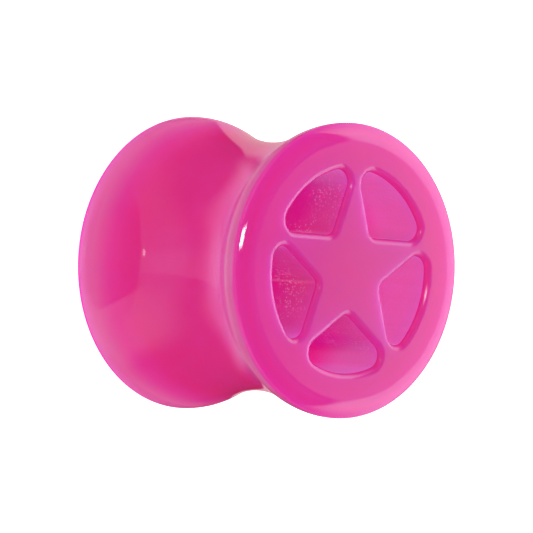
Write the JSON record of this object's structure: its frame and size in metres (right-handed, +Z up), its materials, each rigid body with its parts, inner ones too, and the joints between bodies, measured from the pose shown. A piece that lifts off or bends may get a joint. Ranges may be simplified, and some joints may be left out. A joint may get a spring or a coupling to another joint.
{
  "type": "ear plug gauge",
  "caption": "Double-flared saddle ear plug in translucent pink acrylic, pierced right through around a plain star.",
  "frame": {"origin": "on the surface that the plug stands on, under the middle of its bounding box", "axes": "+Z runs up the plug's own axis from the back face to the star face, and one of the star's points looks towards -Y"},
  "size_m": [0.015, 0.015, 0.013],
  "materials": {
    "pink_acrylic": "polished, translucent"
  },
  "bodies": {
    "root": {"plug_body": "pink_acrylic"}
  },
  "joints": []
}
